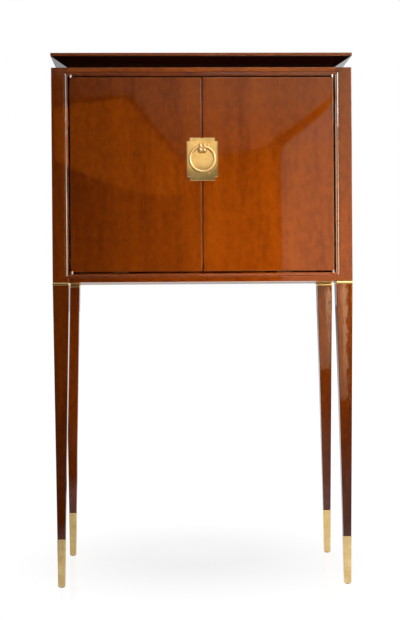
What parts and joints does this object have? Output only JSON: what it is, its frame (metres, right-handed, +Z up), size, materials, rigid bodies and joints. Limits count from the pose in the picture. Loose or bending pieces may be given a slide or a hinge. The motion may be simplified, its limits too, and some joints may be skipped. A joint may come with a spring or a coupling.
{
  "type": "bar cabinet",
  "caption": "Lacquered bar cabinet on tall tapered legs with brass feet, flush doors, a ring handle on a notched plate, and a leaf inside that folds out as a serving shelf.",
  "frame": {"origin": "on the floor, under the middle of the case", "axes": "+Z up; -Y is the front, where the doors are; +X is to the right of someone who faces the doors"},
  "size_m": [0.917, 0.5264, 1.626],
  "materials": {
    "lacquered_wood": "high-gloss clear lacquer over reddish-brown stained veneer",
    "ebonised_wood": "black high-gloss lacquer",
    "interior_wood": "satin lacquer on a lighter veneer",
    "brass": "polished",
    "steel": "plain",
    "glass": "clear, ground edges",
    "glide": "dark nylon",
    "catch": "dark brown"
  },
  "bodies": {
    "cabinet": {"back_panel": "interior_wood", "bar_deck": "interior_wood", "bottom_bead": "lacquered_wood", "case_bottom_board": "interior_wood", "case_top_board": "interior_wood", "cornice": "ebonised_wood", "cornice_screws": "steel", "deck_hinge_plates": "brass", "door_catches": "catch", "door_hinge_pins": "brass", "floor_glides": "glide", "front_bottom_rail": "lacquered_wood", "front_left_leg": "lacquered_wood", "front_left_post": "lacquered_wood", "front_left_sabot": "brass", "front_right_leg": "lacquered_wood", "front_right_post": "lacquered_wood", "front_right_sabot": "brass", "front_top_rail": "lacquered_wood", "glass_shelf": "glass", "hinge_frame_leaves": "brass", "hinge_frame_screws": "brass", "leaf_hinge_pins": "brass", "left_bead": "lacquered_wood", "left_side_panel": "lacquered_wood", "leg_bolts": "steel", "leg_collars": "brass", "loper_guides": "interior_wood", "rear_left_leg": "lacquered_wood", "rear_left_post": "lacquered_wood", "rear_left_sabot": "brass", "rear_right_leg": "lacquered_wood", "rear_right_post": "lacquered_wood", "rear_right_sabot": "brass", "right_bead": "lacquered_wood", "right_side_panel": "lacquered_wood", "shelf_pins": "brass", "top_bead": "lacquered_wood", "top_slab": "lacquered_wood"},
    "right_door": {"handle_boss": "brass", "handle_pins": "brass", "handle_plate": "brass", "right_door": "lacquered_wood", "right_door_hinge_leaves": "brass", "right_door_hinge_screws": "brass", "right_door_strike": "steel"},
    "left_door": {"left_door": "lacquered_wood", "left_door_hinge_leaves": "brass", "left_door_hinge_screws": "brass", "left_door_strike": "steel"},
    "ring": {"ring_pull": "brass"},
    "leaf": {"fold_out_leaf": "interior_wood", "leaf_hinge_plates": "brass", "leaf_knob": "brass"},
    "right_loper": {"right_loper": "interior_wood", "right_loper_knob": "brass"},
    "left_loper": {"left_loper": "interior_wood", "left_loper_knob": "brass"}
  },
  "joints": [
    {"name": "right_door_hinge", "type": "hinge", "parent": "cabinet", "child": "right_door", "pos_m": [0.3975, -0.257, 1.25625], "axis": [0, 0, 1], "range_deg": [0, 180]},
    {"name": "left_door_hinge", "type": "hinge", "parent": "cabinet", "child": "left_door", "pos_m": [-0.3975, -0.257, 1.25625], "axis": [0, 0, 1], "range_deg": [-180, 0]},
    {"name": "leaf_fold", "type": "hinge", "parent": "cabinet", "child": "leaf", "pos_m": [0, -0.227, 1.002], "axis": [1, 0, 0], "range_deg": [0, 180]},
    {"name": "right_loper_slide", "type": "slide", "parent": "cabinet", "child": "right_loper", "axis": [0, -1, 0], "range_m": [0, 0.18]},
    {"name": "left_loper_slide", "type": "slide", "parent": "cabinet", "child": "left_loper", "axis": [0, -1, 0], "range_m": [0, 0.18]},
    {"name": "ring_swing", "type": "hinge", "parent": "right_door", "child": "ring", "pos_m": [0, -0.2626, 1.34], "axis": [-1, 0, 0], "range_deg": [-1, 88]}
  ],
  "couplings": [
    {"joint": "left_door_hinge", "follows": "right_door_hinge", "ratio": -1},
    {"joint": "leaf_fold", "follows": "right_door_hinge", "ratio": 1},
    {"joint": "right_loper_slide", "follows": "right_door_hinge", "m_per_rad": 0.0572},
    {"joint": "left_loper_slide", "follows": "right_door_hinge", "m_per_rad": 0.0572}
  ]
}
